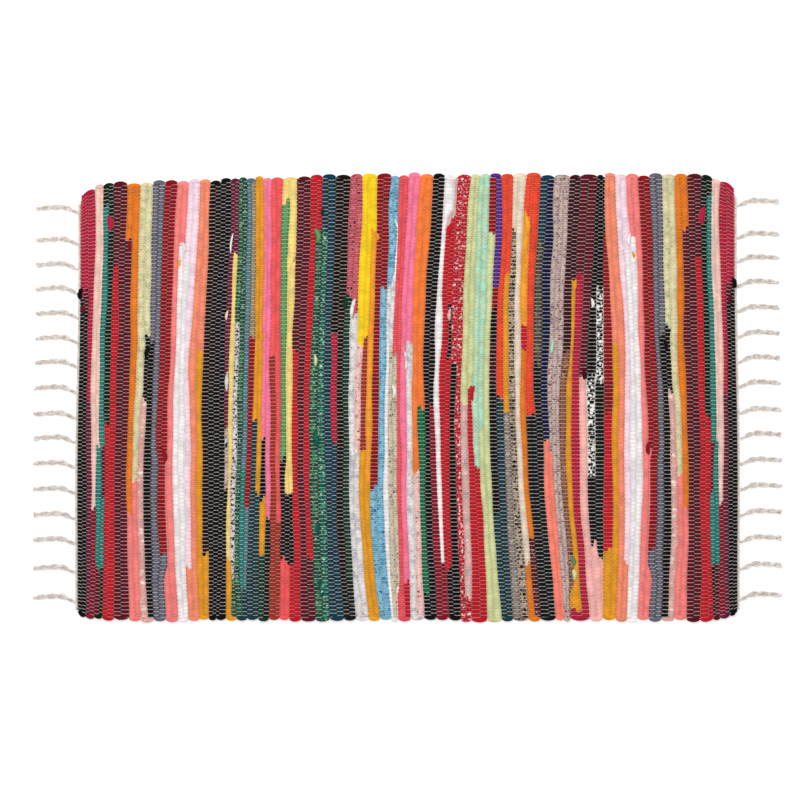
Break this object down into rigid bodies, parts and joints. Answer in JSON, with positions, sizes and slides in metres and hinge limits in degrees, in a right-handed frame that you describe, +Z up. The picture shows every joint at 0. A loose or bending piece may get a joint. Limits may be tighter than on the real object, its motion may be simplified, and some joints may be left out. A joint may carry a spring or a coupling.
{
  "type": "woven rug",
  "caption": "Flat woven cotton rag rug with ribbed weft rows, turned rags along its long edges, and a cream heading with twisted warp tassels at both short ends.",
  "frame": {"origin": "on the floor under the middle of the rug's bounding box", "axes": "+X along the rug's length towards its right fringe, +Y across it towards its far long edge, +Z up from the floor"},
  "size_m": [1.0181, 0.61, 0.0078],
  "materials": {
    "cotton_rags": "woven strips of coloured cotton cloth, matte",
    "cream_warp": "natural cream cotton yarn, matte"
  },
  "bodies": {
    "root": {"woven_body": "cotton_rags", "fringe_left": "cream_warp", "fringe_right": "cream_warp"}
  },
  "joints": []
}
